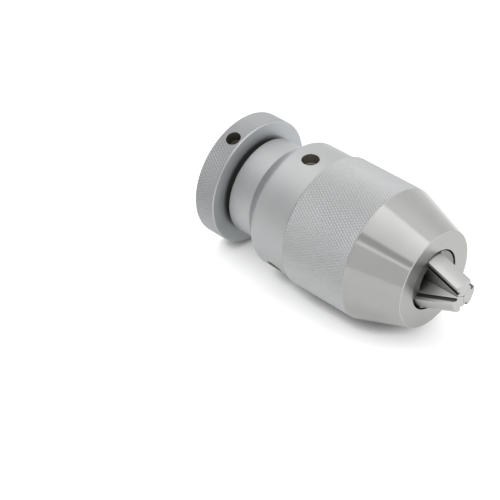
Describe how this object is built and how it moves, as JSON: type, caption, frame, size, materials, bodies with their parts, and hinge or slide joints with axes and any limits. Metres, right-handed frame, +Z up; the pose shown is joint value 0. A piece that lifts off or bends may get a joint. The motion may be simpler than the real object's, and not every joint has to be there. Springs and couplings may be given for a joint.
{
  "type": "keyless drill chuck",
  "caption": "Keyless self-tightening drill chuck with a knurled sleeve, conical nose, sliding jaws, spanner holes and a rear taper socket.",
  "frame": {"origin": "centre of the taper socket's mouth, on the chuck's rear face", "axes": "+X along the spindle axis towards the jaws, +Z up with the chuck lying on its side"},
  "size_m": [0.1032, 0.05, 0.05],
  "materials": {
    "satin_plated_steel": "satin chrome plate over turned and knurled steel",
    "ground_steel": "bright ground steel with fine turning marks",
    "jaw_steel": "ground tool steel",
    "hardened_steel": "hardened and lightly oiled steel",
    "bearing_steel": "polished bearing steel",
    "bearing_bronze": "machined bronze",
    "nitrile_rubber": "matt moulded rubber"
  },
  "bodies": {
    "arbor": {"chuck_body": "hardened_steel", "grip_ring": "satin_plated_steel", "grip_ring_pins": "hardened_steel", "body_race": "bearing_steel"},
    "sleeve": {"rear_cap": "satin_plated_steel", "dust_seal": "nitrile_rubber", "collar_bush": "bearing_bronze", "cap_race": "bearing_steel", "thrust_washer": "bearing_bronze", "wave_spring": "bearing_steel", "bearing_retainer": "hardened_steel", "knurled_sleeve": "satin_plated_steel", "nose_cone": "ground_steel", "jaw_guide": "hardened_steel", "guide_keys": "hardened_steel"},
    "bearing": {"thrust_balls": "bearing_steel", "ball_cage": "bearing_bronze"},
    "screw": {"spindle_screw": "hardened_steel"},
    "first_jaw": {"jaw_1": "jaw_steel"},
    "second_jaw": {"jaw_2": "jaw_steel"},
    "third_jaw": {"jaw_3": "jaw_steel"}
  },
  "joints": [
    {"name": "sleeve_turn", "type": "hinge", "parent": "arbor", "child": "sleeve", "pos_m": [0.035, 0, 0], "axis": [1, 0, 0], "range_deg": [0, 2160]},
    {"name": "cage_roll", "type": "hinge", "parent": "arbor", "child": "bearing", "pos_m": [0.0318, 0, 0], "axis": [1, 0, 0], "range_deg": [0, 1080.1]},
    {"name": "screw_slide", "type": "slide", "parent": "sleeve", "child": "screw", "axis": [1, 0, 0], "range_m": [-0.01801, 0]},
    {"name": "first_jaw_slide", "type": "slide", "parent": "sleeve", "child": "first_jaw", "axis": [-0.9397, -0.0179, 0.3416], "range_m": [0, 0.01917]},
    {"name": "second_jaw_slide", "type": "slide", "parent": "sleeve", "child": "second_jaw", "axis": [-0.9397, -0.2868, -0.1863], "range_m": [0, 0.01917]},
    {"name": "third_jaw_slide", "type": "slide", "parent": "sleeve", "child": "third_jaw", "axis": [-0.9397, 0.3047, -0.1553], "range_m": [0, 0.01917]}
  ],
  "couplings": [
    {"joint": "cage_roll", "follows": "sleeve_turn", "ratio": 0.5},
    {"joint": "screw_slide", "follows": "sleeve_turn", "m_per_rad": -0.00047746},
    {"joint": "first_jaw_slide", "follows": "sleeve_turn", "m_per_rad": 0.00050811},
    {"joint": "second_jaw_slide", "follows": "sleeve_turn", "m_per_rad": 0.00050811},
    {"joint": "third_jaw_slide", "follows": "sleeve_turn", "m_per_rad": 0.00050811}
  ]
}
